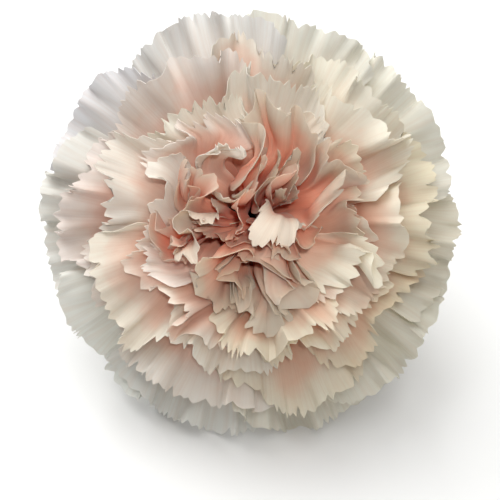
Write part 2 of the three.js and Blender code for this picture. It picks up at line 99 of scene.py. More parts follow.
# and between the bundles: azimuth and distance of the place, disc radius, azimuth, length
BETWEEN_FOLDS = [
    (213, 0.238, 0.05, 30, 52.5), (182, 0.125, 0.045, 200, 53.5), (320, 0.262, 0.06, 100, 54.0),
    (123, 0.238, 0.05, 330, 54.5), (320, 0.262, 0.03, 280, 53.0), (240, 0.1, 0.03, 60, 52.5),
]
INNER_FOLD_HALF_ANGLE, INNER_FOLD_TWIST = math.radians(75), 0.01
# the upper bundle is rolled up like a bud: turn at its centre, how far out that reaches, and
# between which distances along the petals it grows
BUD_TURN, BUD_REACH = 1.1, 0.2
BUD_FROM, BUD_TO = 27, 54
BUD_DISTANCE = 10.0  # of the bud from the bloom's axis
# petals whose tops curl outwards: where the curl starts, its radius, and the petal's length
CURLS = {
    "upper_heart_petal_1": (53.0, 14.0, 58.0),
    "upper_heart_petal_2": (52.0, 14.0, 59.0),
    "upper_heart_petal_4": (50.0, 20.0, 51.5),
    "upper_heart_petal_7": (50.0, 5.0, 59.0),
    "lower_heart_petal_2": (50.0, 12.0, 56.0),
    "lower_heart_petal_3": (50.0, 12.0, 56.0),
    "left_heart_petal_1": (49.0, 9.0, 56.0),
    "left_heart_petal_3": (49.0, 8.0, 55.5),
    "corner_petal_3": (49.0, 11.0, 57.0),
}
CURL_TOGETHER = 1.3  # how far the columns of a curl turn the same way
# the crease down a curled petal's middle: width as a share of half the petal, depth, and how far
# below the curl it starts
CREASE_WIDTH, CREASE_DEPTH, CREASE_BELOW = 0.22, 1.0, 5
# the folds and the heart's waves are calmer round the bud: by how much, and over which distance
# in the disc and in the bloom
CALM, CALM_DISC, CALM_BLOOM = 0.75, 0.19, 8.0

# heading in degrees, wavelength and height in disc units, phase
LONG_WAVES = [
    (20, 0.62, 0.040, 0.3),
    (95, 0.55, 0.038, 1.9),
    (150, 0.48, 0.034, 4.1),
    (60, 0.43, 0.030, 2.2),
]
LONG_WAVES_FROM, LONG_WAVES_TO = 26.0, 60.0
SHORT_WAVES = [
    (10, 0.31, 0.024, 5.0),
    (120, 0.27, 0.022, 0.9),
    (75, 0.235, 0.022, 3.3),
    (165, 0.21, 0.020, 2.7),
    (40, 0.19, 0.018, 1.1),
    (100, 0.15, 0.014, 0.2),
    (5, 0.14, 0.013, 2.8),
    (55, 0.13, 0.012, 4.4),
    (140, 0.125, 0.011, 5.3),
]
# the short waves grow towards the margin: from how far below it to how far past it
SHORT_WAVES_BELOW, SHORT_WAVES_PAST, SHORT_WAVES_POWER = 17, 3, 1.4
HEART_WAVES = [
    (35, 0.23, 0.030, 0.8),
    (125, 0.21, 0.028, 2.1),
    (80, 0.17, 0.020, 3.9),
    (165, 0.13, 0.015, 1.4),
    (50, 0.115, 0.013, 4.6),
    (108, 0.1, 0.011, 0.5),
]
HEART_WAVES_FROM, HEART_WAVES_TO = 28, 52
HEART_INSIDE, HEART_OUTSIDE = 0.38, 0.62  # disc radii between which the heart's waves fade
# where a petal ends: at least, in the collar, and how much further per unit of disc radius
LEAST_MARGIN, COLLAR_MARGIN, MARGIN_RISE = 53.0, 64.0, 25.3
# Waves through the opened bloom: heading of the shift (azimuth, elevation), heading of the wave
# (azimuth, elevation) at right angles to it, wavelength and height in millimetres, phase, and
# the bloom radii between which it fades
FOLDS = [
    ((215, 0), (125, 30), 23.0, 2.7, 3.878, 13, 24),
    ((305, 0), (35, 40), 19.0, 2.4, 1.018, 13, 24),
    ((160, 0), (70, 20), 14.0, 1.5, 1.401, 13, 22),
    ((80, 0), (350, 25), 11.0, 1.2, 0.511, 12, 20),
    ((20, 0), (110, 35), 7.5, 0.7, 1.566, 12, 20),
    ((0, 90), (25, 0), 21.0, 1.2, 0.3, 60, 80),
    ((0, 90), (100, 0), 17.0, 1.0, 3.0, 60, 80),
    ((0, 90), (155, 0), 13.0, 0.9, 5.1, 60, 80),
    ((0, 90), (60, 0), 9.5, 0.7, 1.7, 14, 26),
]
FOLDS_FROM, FOLDS_TO = 7.0, 21.0  # heights above the claws' tops

# ---- Petal margins, seen in Blender only ----
PETAL_FULL_WIDTH = {
    "collar": 34, "second": 32, "third": 30, "fourth": 28, "corner": 20, "heart": 20, "fold": 8,
}
TOOTH_WIDTH = 1.35
TOOTH_SHARES = (0.65, 1.35)  # the narrowest and the widest, as a share of that
TOOTH_PEAKS = (0.35, 0.65)  # where along it a tooth's peak can be
NOTCH_DEPTHS, PEAK_DEPTHS = (0.7, 1.7), (0.0, 0.7)
DEEP_NOTCH, DEEP_FROM = 1.3, 0.78  # how much deeper some notches are, and the draw they need
LOBES = [(1.3, 3.1), (0.9, 6.3)]  # slow waves of a margin: height, turns from middle to side
CORNER_POWER = 3.2  # how late a margin's corners round off
CORNER_DROP, COLLAR_CORNER_DROP = 6.0, 4.0
COLLAR_TEETH, COLLAR_LOBES = 0.62, 0.45  # the collar's teeth and lobes, as shares of the others'
TEETH_BAND = 3.4  # depth of the band that the teeth are cut into
TEETH_ROWS, TEETH_POWER = (0.3, 0.6, 0.82, 1.0), 1.6
CLAW_ROWS, BLADE_ROWS, BLADE_POWER = 4, 19, 1.05
CRIMPS = [(0.25, 3.7, 0.12), (0.12, 2.2, -0.2)]  # height, wavelength, slant
CRIMP_BAND = 8  # depth of the margin's crimped and thinned band
CURLED_CRIMP = 0.5  # a curled petal's crimps, as a share of the others'
THICKNESS_CLAW, THICKNESS_BLADE, THICKNESS_MARGIN = 0.2, 0.17, 0.1
BLADE_FROM, BLADE_TO = 20, 36  # where the claw's thickness becomes the blade's
CURLED_PALE = 0.76  # how far up the petal's colours a curl starts
PALEST_CURL, PALEST = "upper_heart_petal_7", 0.8


def smooth(x, low, high):
    t = np.clip((x - low) / (high - low), 0, 1)
    return t * t * (3 - 2 * t)


def mix(a, b, t):
    return a + (b - a) * t


def scatter(i, salt):
    """A number from 0 to 1 that looks random and is the same in every run."""
    v = math.sin(i * 12.9898 + salt * 78.233 + 4.1) * 43758.5453
    return v - math.floor(v)


def polar(distance, azimuth):
    return distance * math.cos(azimuth), distance * math.sin(azimuth)


# ---- From the disc to the upright bloom ----
def arc_run(a, b, length):
    """Distance out and up along an arc whose lean goes evenly from a to b."""
    turn = np.where(np.abs(b - a) < 1e-5, 1e-5, b - a)
    out = (np.cos(a) - np.cos(a + turn)) / turn * length
    up = (np.sin(a + turn) - np.sin(a)) / turn * length
    return out, up


def bundle_radius(along):
    return mix(BUNDLE_BASE_RADIUS, BUNDLE_MOUTH_RADIUS, np.clip(along / CLAW_LENGTH, 0, 1))


def channel_radius(along):
    """Radius of the room left for the ovary and the styles."""
    wide = OVARY_RADIUS + OVARY_CLEARANCE
    narrow = mix(wide, STYLE_CHANNEL, smooth(along, OVARY_HEIGHT, OVARY_HEIGHT + 6))
    return narrow * (1 - smooth(along, CLAW_LENGTH - 2, CLAW_LENGTH + BEND_LENGTH))


def lean_at(rho, azimuth):
    uneven = 0
    for amount, turns, slant, phase in LEAN_WAVES:
        uneven = uneven + amount * np.sin(turns * azimuth + slant * rho + phase)
    # the middle rows are the least even
    share = smooth(rho, 0.15, 0.5) * (1 - 0.5 * smooth(rho, 0.7, 0.95))
    return COLLAR_LEAN * rho**LEAN_POWER * (1 + uneven * share)


def bloom_point(x, y, along):
    rho = np.hypot(x, y)
    azimuth = np.arctan2(y, x)
    lean = lean_at(rho, azimuth)
    channel = channel_radius(along)
    start = channel + rho * (bundle_radius(along) - channel)
    bent = np.clip(along - CLAW_LENGTH, 0, BEND_LENGTH)
    out1, up1 = arc_run(0 * lean, lean * bent / BEND_LENGTH, bent)
    beyond = np.maximum(along - CLAW_LENGTH - BEND_LENGTH, 0)
    out2, up2 = arc_run(lean, lean + RECURVE * beyond * smooth(rho, 0.1, 0.6), beyond)
    radius = start + out1 + out2
    height = np.minimum(along, CLAW_LENGTH) + up1 + up2
    return np.stack([radius * np.cos(azimuth), radius * np.sin(azimuth), height], -1)


def slide(x, y, waves, growth):
    for heading, length, height, phase in waves:
        c, s = math.cos(math.radians(heading)), math.sin(math.radians(heading))
        shift = height * growth(x, y) * np.sin((x * c + y * s) * TAU / length + phase)
        x, y = x - shift * s, y + shift * c
    return x, y


def margin_distance(rho):
    """About how long a petal at that disc radius is."""
    return np.maximum(LEAST_MARGIN, COLLAR_MARGIN + MARGIN_RISE * (rho - WHORLS[0][1]))


def bud_place(distance):
    return polar(distance, math.radians(BUNDLES[0][1]))


def rolled(x, y, along):
    """Turns the disc about the bud's centre."""
    cx, cy = bud_place(BUNDLES[0][2])
    inside = 1 - smooth(np.hypot(x - cx, y - cy), 0.02, BUD_REACH)
    turn = BUD_TURN * smooth(along, BUD_FROM, BUD_TO) * inside
    c, s = np.cos(turn), np.sin(turn)
    return cx + (x - cx) * c - (y - cy) * s, cy + (x - cx) * s + (y - cy) * c


def calm(x, y, centre, spread):
    """How strong the folds are: least round the bud."""
    away = np.hypot(x - centre[0], y - centre[1]) / spread
    return 1 - CALM * np.exp(-away * away / 2)


def ruffled(x, y, along):
    """Rolls the bud and slides the petals in long waves, and in short ones near their margins."""
    grown = smooth(along, LONG_WAVES_FROM, LONG_WAVES_TO)

    def in_heart(x, y):
        inside = 1 - smooth(np.hypot(x, y), HEART_INSIDE, HEART_OUTSIDE)
        risen = smooth(along, HEART_WAVES_FROM, HEART_WAVES_TO)
        return risen * inside * calm(x, y, bud_place(BUNDLES[0][2]), CALM_DISC)

    def near_margin(x, y):
        reach = margin_distance(np.hypot(x, y))
        near = smooth(along, reach - SHORT_WAVES_BELOW, reach + SHORT_WAVES_PAST)
        return near**SHORT_WAVES_POWER

    x, y = rolled(x, y, along)
    x, y = slide(x, y, LONG_WAVES, lambda x, y: grown)
    x, y = slide(x, y, HEART_WAVES, in_heart)
    return slide(x, y, SHORT_WAVES, near_margin)


def heading(azimuth, elevation):
    a, e = math.radians(azimuth), math.radians(elevation)
    return np.array([math.cos(a) * math.cos(e), math.sin(a) * math.cos(e), math.sin(e)])


def folded(points):
    """Slides the opened bloom along itself in waves, most of all in its heart."""
    for shift, wave, length, height, phase, near, far in FOLDS:
        d, k = heading(*shift), heading(*wave)
        k = k - d * (k @ d)
        k /= np.linalg.norm(k)
        radius = np.hypot(points[..., 0], points[..., 1])
        raised = points - [0, 0, CLAW_LENGTH]
        amount = smooth(raised[..., 2], FOLDS_FROM, FOLDS_TO) * (1 - smooth(radius, near, far))
        if shift[1] == 0:
            bud = bud_place(BUD_DISTANCE)
            amount = amount * calm(points[..., 0], points[..., 1], bud, CALM_BLOOM)
        wavy = height * amount * np.sin(raised @ k * TAU / length + phase)
        points = points + d * wavy[..., None]
    return points


def bloom_line(x, y, along):
    """Points of the finished bloom, from places in the disc and distances along the petals."""
    return folded(bloom_point(*ruffled(x, y, along), along))


# ---- Where the bloom lies: the stem's axis and its cut end, read from the frame ----
def read_placement():
    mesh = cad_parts["stem"].data
    points = np.empty(len(mesh.vertices) * 3)
    mesh.vertices.foreach_get("co", points)
    points = np.unique(points.reshape(-1, 3).round(6), axis=0)
    centre = points.mean(0)
    axes = np.linalg.svd(points - centre)[2]
    up = max(axes, key=lambda a: abs(a @ [0, -0.7, 0.7]))
    up = up * np.sign(up[2])
    side = np.array([1.0, 0, 0])
    side -= up * (side @ up)
    side /= np.linalg.norm(side)
    front = np.cross(up, side)
    heights = (points - centre) @ up
    origin = centre + up * (heights.min() - STEM_END * MM)
    for axis in (side, front):
        spread = (points - centre) @ axis
        origin = origin + axis * (spread.max() + spread.min()) / 2
    return np.stack([side, front, up], 1), origin


TURN, ORIGIN = read_placement()
AXIS = TURN[:, 2]


def in_frame(points):
    """Points of the upright bloom, in millimetres, to the frame, in metres."""
    return points @ TURN.T * MM + ORIGIN


def laid_down(points):
    """Points in the frame, with what would reach below the surface bent along it instead."""
    low = np.exp(np.minimum(points[:, 2] / SETTLE - 1, 0)) * SETTLE
    points[:, 2] = np.where(points[:, 2] < SETTLE, low, points[:, 2])
    return points


# ---- Meshes ----
def unit(v):
    return v / (np.linalg.norm(v, axis=-1, keepdims=True) + 1e-12)


def grid_normals(points):
    return unit(np.cross(np.gradient(points, axis=1), np.gradient(points, axis=0)))


def link(thing):
    bpy.context.scene.collection.objects.link(thing)


def add_piece(name, points, faces, material, values):
    mesh = bpy.data.meshes.new(name)
    mesh.from_pydata(laid_down(in_frame(points)).tolist(), [], faces)
    mesh.polygons.foreach_set("use_smooth", np.ones(len(faces), bool))
    mesh.set_sharp_from_angle(angle=SHARP_EDGE)
    for key, value in values.items():
        layer = mesh.attributes.new(key, "FLOAT", "POINT")
        layer.data.foreach_set("value", np.ascontiguousarray(value, np.float32).reshape(-1))
    mesh.materials.append(material)
    piece = bpy.data.objects.new(name, mesh)
    link(piece)
    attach(piece, "root")
    return piece


def thick_sheet(points, thickness):
    """Vertices and faces of a closed sheet round a grid of points."""
    half = grid_normals(points) * thickness[..., None] / 2
    rows, columns = points.shape[:2]
    index = np.arange(rows * columns).reshape(rows, columns)
    corners = [index[:-1, :-1], index[:-1, 1:], index[1:, 1:], index[1:, :-1]]
    front = np.stack(corners, -1).reshape(-1, 4)
    offset = rows * columns
    ring = np.concatenate([index[0], index[1:, -1], index[-1, -2::-1], index[-2:0:-1, 0]])
    rim = np.stack([ring, ring + offset, np.roll(ring, -1) + offset, np.roll(ring, -1)], -1)
    vertices = np.concatenate([(points + half).reshape(-1, 3), (points - half).reshape(-1, 3)])
    return vertices, np.concatenate([front, front[:, ::-1] + offset, rim]).tolist()


def both_sides(value):
    return np.concatenate([value.reshape(-1), value.reshape(-1)])


def tube(rows, count):
    """Vertex numbers of rings round a tube, and the faces between the rings."""
    index = np.arange(rows * count).reshape(rows, count)
    after = np.roll(index, -1, 1)
    corners = [index[:-1], after[:-1], after[1:], index[1:]]
    return index, after, np.stack(corners, -1).reshape(-1, 4).tolist()


# ---- Petals ----
def petal_list():
    petals = []

    def add(kind, name, centre, rho, azimuth, half_angle, twist, length):
        length = CURLS[name][2] if name in CURLS else length
        petals.append(
            dict(
                i=len(petals), kind=kind, name=name, centre=centre, rho=rho, azimuth=azimuth,
                half=half_angle, twist=twist, length=length,
            )
        )

    for name, rho, twist, count, overlap, length, first, jitter in WHORLS:
        for k in range(count):
            i = len(petals)
            spacing = TAU / count
            azimuth = math.radians(first) + (k + AZIMUTH_JITTER * (scatter(i, 1) - 0.5)) * spacing
            half = spacing / 2 * overlap * mix(NARROWEST, WIDEST, scatter(i, 2))
            reach = length + jitter * (scatter(i, 3) - 0.5)
            kind = name.split("_")[0]
            add(kind, f"{name}_{k + 1}", (0, 0), rho, azimuth, half, twist, reach)
    for k, azimuth in enumerate(CORNER_AZIMUTHS):
        where, half = math.radians(azimuth), CORNER_HALF_ANGLE
        add("corner", f"corner_petal_{k + 1}", (0, 0), CORNER_RHO, where, half, 0, CORNER_LENGTH)
    for name, azimuth, distance, rings in BUNDLES:
        centre = polar(distance, math.radians(azimuth))
        number = 0
        for rho, count, overlap, length, first in rings:
            spacing = TAU / count
            half = min(spacing, math.pi) / 2 * overlap
            for k in range(count):
                number += 1
                reach = length + BUNDLE_SPREAD * (scatter(len(petals), 3) - 0.5)
                where = math.radians(first) + k * spacing
                add("heart", f"{name}_{number}", centre, rho, where, half, HEART_TWIST, reach)
    inner = [BUNDLES[bundle][1:3] + tuple(fold) for bundle, *fold in INNER_FOLDS]
    for number, (direction, distance, rho, azimuth, length) in enumerate(inner + BETWEEN_FOLDS):
        centre = polar(distance, math.radians(direction))
        where, half, twist = math.radians(azimuth), INNER_FOLD_HALF_ANGLE, INNER_FOLD_TWIST
        add("fold", f"inner_fold_{number + 1}", centre, rho, where, half, twist, length)
    return petals


def toothed_margin(petal):
    """Across positions, the smooth margin there, and how far the teeth cut below it."""
    random = np.random.RandomState(100 + petal["i"])
    in_collar = petal["kind"] == "collar"
    teeth = int(PETAL_FULL_WIDTH[petal["kind"]] / TOOTH_WIDTH)
    widths = random.uniform(*TOOTH_SHARES, teeth)
    edges = np.concatenate([[0], np.cumsum(widths)]) / widths.sum() * 2 - 1
    depth = COLLAR_TEETH if in_collar else 1.0
    notch = random.uniform(*NOTCH_DEPTHS, teeth + 1)
    notch = depth * (notch + DEEP_NOTCH * (random.uniform(0, 1, teeth + 1) > DEEP_FROM))
    tip = depth * random.uniform(*PEAK_DEPTHS, teeth)
    lean = random.uniform(*TOOTH_PEAKS, teeth)
    across, cut = [], []
    for k in range(teeth):
        a, b = edges[k], edges[k + 1]
        peak = mix(a, b, lean[k])
        across += [a, mix(a, peak, 0.55), peak, mix(peak, b, 0.45)]
        cut += [notch[k], mix(notch[k], tip[k], 0.62), tip[k], mix(tip[k], notch[k + 1], 0.38)]
    across = np.array(across + [1.0])
    cut = np.array(cut + [notch[-1]])
    lobes = 0
    for height, turns in LOBES:
        lobes = lobes + height * np.sin(across * turns + random.uniform(0, 6))
    lobes = lobes * (COLLAR_LOBES if in_collar else 1.0)
    drop = COLLAR_CORNER_DROP if in_collar else CORNER_DROP
    return across, petal["length"] - drop * np.abs(across) ** CORNER_POWER + lobes, cut


def petal_points(petal, across, along):
    share = mix(CLAW_WIDTH_SHARE, 1.0, smooth(along, PETAL_WIDTH_FROM, PETAL_WIDTH_TO))
    angle = petal["azimuth"] + across * share * petal["half"]
    rho = petal["rho"] + across * share * petal["twist"]
    x = petal["centre"][0] + rho * np.cos(angle)
    y = petal["centre"][1] + rho * np.sin(angle)
    return bloom_line(x, y, along)


def curled(petal, across, along, points):
    """The petal's points, with those beyond its curl's start rolled outwards from the bloom."""
    start, radius, _ = CURLS[petal["name"]]
    columns = across[0]

    def level(distance):
        return petal_points(petal, columns, np.full_like(columns, distance))

    base = level(start)
    up = unit(level(start + 0.1) - level(start - 0.1))
    out = unit(np.cross(np.gradient(base, axis=0), up))
    out = unit(out + CURL_TOGETHER * out[len(out) // 2])
    turn = np.maximum(along - start, 0)[..., None] / radius
    bent = base + radius * (np.sin(turn) * up + (1 - np.cos(turn)) * out)
    return np.where((along > start)[..., None], bent, points)


def tone_and_painted_side_light(petal):
    """0 for a pinker tint, 1 for a creamier one: a random share is each petal's own tone, and the
    flank towards the bloom's +x and -y is made creamier, painted warm light on that side.
    """
    x, y = polar(petal["rho"], petal["azimuth"])
    x, y = petal["centre"][0] + x, petal["centre"][1] + y
    return min(max(0.5 + 0.42 * (x - 0.3 * y) + 0.5 * (scatter(petal["i"], 8) - 0.5), 0), 1)


def build_petal(petal, material, slot):
    name = petal["name"]
    across, edge, cut = toothed_margin(petal)
    rows = [np.full_like(across, s) for s in np.linspace(1, CLAW_LENGTH - 2, CLAW_ROWS)]
    for share in np.linspace(0, 1, BLADE_ROWS):
        rows.append(mix(CLAW_LENGTH, edge - TEETH_BAND, share**BLADE_POWER))
    for share in TEETH_ROWS:
        rows.append(edge - TEETH_BAND * (1 - share) - cut * share**TEETH_POWER)
    along = np.array(rows)
    grid = np.broadcast_to(across, along.shape)
    points = petal_points(petal, grid, along)
    random = np.random.RandomState(500 + petal["i"])
    width = PETAL_FULL_WIDTH[petal["kind"]] / 2
    near_margin = smooth(along, edge - CRIMP_BAND, edge)
    crimp = 0
    for height, length, slant in CRIMPS:
        phase = random.uniform(0, 6)
        crimp = crimp + height * np.sin(grid * width / length * TAU + phase + slant * along)
    crimp = crimp * near_margin
    reach = (along - CLAW_LENGTH) / (edge - CLAW_LENGTH)
    if name in CURLS:
        points = curled(petal, grid, along, points)
        start = CURLS[name][0]
        keel = np.exp(-((grid / CREASE_WIDTH) ** 2)) * smooth(along, start - CREASE_BELOW, edge)
        crimp = CURLED_CRIMP * crimp - CREASE_DEPTH * keel
        pale = PALEST if name == PALEST_CURL else CURLED_PALE
        reach = np.maximum(reach, pale * smooth(along, start - 6, start + 3))
    points = points + grid_normals(points) * crimp[..., None]
    thickness = mix(THICKNESS_CLAW, THICKNESS_BLADE, smooth(along, BLADE_FROM, BLADE_TO))
    thickness = mix(thickness, THICKNESS_MARGIN, near_margin)
    vertices, faces = thick_sheet(points, thickness)
    values = {
        "reach": both_sides(reach),
        "across": both_sides(grid * width),
        "tone": np.full(len(vertices), scatter(petal["i"], 7)),
        # warmth: each petal's own tone plus painted warm light on one flank of the bloom
        "warmth": np.full(len(vertices), tone_and_painted_side_light(petal)),
    }
    piece = add_piece(f"fine_{name}", vertices, faces, material, values)
    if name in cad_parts:
        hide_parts(name)


# ---- Materials ----
def srgb(r, g, b):
    def linear(c):
        c /= 255
        return c / 12.92 if c <= 0.04045 else ((c + 0.055) / 1.055) ** 2.4

    return (linear(r), linear(g), linear(b), 1)


def grey(value):
    return (value, value, value, 1)


class Shader:
    """A material and short ways to add and join its nodes."""

    def __init__(self, name):
        self.material = bpy.data.materials.new(name)
        self.material.use_nodes = True
        self.tree = self.material.node_tree
        self.surface = self.tree.nodes["Principled BSDF"]
        self.output = self.tree.nodes["Material Output"]

    def node(self, kind, **settings):
        node = self.tree.nodes.new("ShaderNode" + kind)
        for key, value in settings.items():
            setattr(node, key, value)
        return node

    def join(self, source, target):
        self.tree.links.new(source, target)

    def feed(self, target, value):
        if isinstance(value, bpy.types.NodeSocket):
            self.join(value, target)
        else:
            target.default_value = value

    def set(self, **values):
        """Sets plain values on the surface's own sockets, named with _ for a space."""
        for name, value in values.items():
            self.surface.inputs[name.replace("_", " ")].default_value = value

    def math(self, operation, a, b):
        node = self.node("Math", operation=operation)
        self.feed(node.inputs[0], a)
        self.feed(node.inputs[1], b)
        return node.outputs[0]

    def times(self, a, b):
        return self.math("MULTIPLY", a, b)

    def plus(self, a, b):
        return self.math("ADD", a, b)

    def attribute(self, name):
        return self.node("Attribute", attribute_name=name).outputs["Fac"]

    def noise(self, vector, scale, detail=3.0, roughness=0.55):
        node = self.node("TexNoise")
        self.join(vector, node.inputs["Vector"])
        node.inputs["Scale"].default_value = scale
        node.inputs["Detail"].default_value = detail
        node.inputs["Roughness"].default_value = roughness
        return node.outputs["Fac"]

    def streaks(self, coordinates, roughness):
        """Noise in coordinates that were stretched beforehand."""
        lines = self.node("CombineXYZ")
        for socket, (value, stretch) in zip(lines.inputs, coordinates):
            self.join(self.times(value, stretch), socket)
        return self.noise(lines.outputs[0], 1.0, 2.0, roughness)

    def ramp(self, factor, stops):
        node = self.node("ValToRGB")
        elements = node.color_ramp.elements
        while len(elements) < len(stops):
            elements.new(0.5)
        for element, (position, colour) in zip(elements, stops):
            element.position = position
            element.color = colour if len(colour) == 4 else srgb(*colour)
        self.join(factor, node.inputs["Fac"])
        return node.outputs["Color"]

    def blend(self, factor, a, b, mode="MIX"):
        node = self.node("Mix", data_type="RGBA", blend_type=mode)
        self.feed(node.inputs["Factor"], factor)
        self.feed(node.inputs["A"], a)
        self.feed(node.inputs["B"], b)
        return node.outputs["Result"]

    def bump(self, height, strength, distance):
        node = self.node("Bump")
        node.inputs["Strength"].default_value = strength
        node.inputs["Distance"].default_value = distance
        self.join(height, node.inputs["Height"])
        self.join(node.outputs[0], self.surface.inputs["Normal"])
        return node.outputs[0]


# Veins run up the petal: noise that changes fast across it, slowly along it, and between petals.
VEINS_ACROSS, VEINS_ALONG, VEINS_APART = 2.6, 2.2, 40.0
VEIN_SHADE = [(0.36, (236, 214, 200)), (0.58, (255, 255, 255))]
VEIN_STRENGTH, VEIN_BUMP, VEIN_HEIGHT = 0.16, 0.24, 0.0002
PATCH_SCALE, GRAIN_SCALE = 130.0, 2600.0
BLUSH_WANDER, BLUSH_SHIFT = 0.3, 0.2  # how far the blush wanders in a petal, and between petals
TINT_STRENGTH, THROUGH_DEPTH = 0.8, 0.6


def petal_material(name, translucency, tints, stops):
    """A petal's tissue, coloured by stops up the petal and by tints from pinker to creamier, which
    hold each petal's own tone and painted warm light on one flank of the bloom.
    """
    s = Shader(name)
    place = s.node("TexCoord").outputs["Object"]
    reach, across, tone = s.attribute("reach"), s.attribute("across"), s.attribute("tone")
    warmth = s.attribute("warmth")
    veins = s.streaks([(across, VEINS_ACROSS), (reach, VEINS_ALONG), (tone, VEINS_APART)], 0.6)
    patches = s.noise(place, PATCH_SCALE)
    grain = s.noise(place, GRAIN_SCALE, 2.0)
    wander = s.times(s.math("SUBTRACT", patches, 0.5), BLUSH_WANDER)
    shift = s.times(s.math("SUBTRACT", tone, 0.5), BLUSH_SHIFT)
    # The darker, more saturated peach low on each petal is partly the petal's own colour and
    # partly painted warm shade for the deep crevices, where the real claws are paler.
    colour = s.ramp(s.plus(s.plus(reach, wander), shift), stops)
    colour = s.blend(VEIN_STRENGTH, colour, s.ramp(veins, VEIN_SHADE), "MULTIPLY")
    # The tints add each petal's own tone and painted warm light on one flank of the bloom.
    tint = s.ramp(warmth, list(zip((0.0, 0.5, 1.0), tints)))
    colour = s.blend(TINT_STRENGTH, colour, tint, "MULTIPLY")
    s.join(colour, s.surface.inputs["Base Color"])
    s.join(s.ramp(patches, [(0.3, grey(0.5)), (0.7, grey(0.68))]), s.surface.inputs["Roughness"])
    s.set(Specular_IOR_Level=0.35, Sheen_Weight=0.12, Sheen_Roughness=0.5)
    height = s.plus(s.times(veins, 0.8), s.times(grain, 0.2))
    normal = s.bump(height, VEIN_BUMP, VEIN_HEIGHT)
    # Light that comes through a petal is coloured twice.
    through = s.node("BsdfTranslucent")
    s.join(s.blend(THROUGH_DEPTH, colour, colour, "MULTIPLY"), through.inputs["Color"])
    s.join(normal, through.inputs["Normal"])
    mixed = s.node("MixShader")
    mixed.inputs["Fac"].default_value = translucency
    s.join(s.surface.outputs[0], mixed.inputs[1])
    s.join(through.outputs[0], mixed.inputs[2])
    s.join(mixed.outputs[0], s.output.inputs["Surface"])
    return s.material


# In each ramp the foot of the petal is a darker orange-peach than its face: partly the petals' own
# colour, partly painted warm shade down in the crevices.
COLLAR = petal_material(
    "collar petals", 0.42,
    [(252, 250, 255), (255, 254, 251), (255, 250, 238)],
    [
        (0.0, (220, 178, 150)), (0.4, (235, 217, 204)), (0.65, (237, 234, 228)),
        (0.85, (240, 240, 236)), (1.0, (243, 244, 242)),
    ],
)
MIDDLE = petal_material(
    "middle petals", 0.42,
    [(255, 247, 249), (255, 252, 247), (255, 248, 230)],
    [
        (0.0, (220, 122, 84)), (0.42, (234, 161, 131)), (0.64, (238, 196, 174)),
        (0.79, (240, 220, 206)), (0.89, (242, 238, 230)), (1.0, (244, 244, 239)),
    ],
)
HEART = petal_material(
    "heart petals", 0.55,
    [(255, 247, 248), (255, 251, 246), (255, 249, 234)],
    [
        (0.0, (240, 144, 106)), (0.45, (247, 178, 147)), (0.7, (247, 197, 172)),
        # The heart's cream near the margin is darker and warmer than the collar's: partly painted
        # shade and painted warm bounced light inside the bloom.
        (0.84, (240, 212, 195)), (0.93, (233, 222, 209)), (1.0, (233, 228, 218)),
    ],
)
# the material and the slot of each kind of petal
PETAL_LOOKS = {
    "collar": (COLLAR, "collar_petal"),
    "second": (MIDDLE, "petal"),
    "third": (MIDDLE, "petal"),
    "fourth": (MIDDLE, "petal"),
    "corner": (MIDDLE, "petal"),
    "heart": (HEART, "heart_petal"),
    "fold": (HEART, "heart_petal"),
}

DRY_EDGE = (214, 203, 160)
WAX_SCALE, TISSUE_SCALE = 260.0, 3000.0
RIBS_ALONG = 0.6


def green_material(name, light, dark, pale, rib_scale):
    """Waxy green tissue: ribs along it, a pale bloom in patches, and dry where edge is 1."""
    s = Shader(name)
    place = s.node("TexCoord").outputs["Object"]
    around, along, edge = s.attribute("across"), s.attribute("reach"), s.attribute("edge")
    ribs = s.streaks([(around, rib_scale), (along, RIBS_ALONG)], 0.5)
    wax = s.noise(place, WAX_SCALE, 4.0)
    colour = s.ramp(ribs, [(0.3, dark), (0.65, light)])
    colour = s.blend(s.times(wax, 0.5), colour, srgb(*pale))
    colour = s.blend(edge, colour, srgb(*DRY_EDGE))
    s.join(colour, s.surface.inputs["Base Color"])
    s.join(s.ramp(wax, [(0.3, grey(0.38)), (0.7, grey(0.6))]), s.surface.inputs["Roughness"])
    s.set(Coat_Weight=0.12, Coat_Roughness=0.4, Subsurface_Weight=0.12)
    s.set(Subsurface_Radius=(0.0008, 0.0012, 0.0004))
    s.bump(s.plus(s.times(ribs, 0.7), s.times(s.noise(place, TISSUE_SCALE), 0.25)), 0.5, 0.0003)
    return s.material


CALYX_GREEN = green_material("calyx", (150, 172, 122), (112, 140, 92), (176, 192, 160), 2.2)
BRACT_GREEN = green_material("bract", (132, 158, 104), (98, 126, 78), (168, 184, 150), 3.0)
STEM_GREEN = green_material("stem", (126, 154, 104), (100, 130, 84), (164, 182, 150), 1.4)
OVARY_GREEN = green_material("ovary", (192, 203, 150), (164, 180, 118), (214, 220, 184), 2.0)
STYLE_WHITE = green_material("style", (240, 234, 220), (226, 214, 192), (248, 245, 236), 2.0)


# ---- Calyx, bracts, stem, ovary and styles ----
TOOTH_COLUMNS = 36  # of the calyx's mesh, per tooth
CALYX_FLOOR_ROWS, CALYX_WALL_ROWS = 8, 42
CALYX_THINNING = 0.45  # of the wall at its rim
CALYX_BULGE = 0.175
CALYX_RIBS = [(0.09, 40), (0.05, 5)]  # height, count
CALYX_DRY = 1.3  # width of the teeth's dry rim
CALYX_AROUND = 7.6  # millimetres per radian, for the ribs of its material
KEEL_HEIGHT, KEEL_SHARPNESS = 0.22, 5  # of a bract's midrib
LENGTH_TO_REACH = 0.3
STEM_COLUMNS, OVARY_COLUMNS, STYLE_COLUMNS, STYLE_ROWS = 72, 48, 12, 60
CUT_RIM, CUT_PALE = 0.3, 0.85  # of the stem's cut face: how far inside its rim it starts, how pale


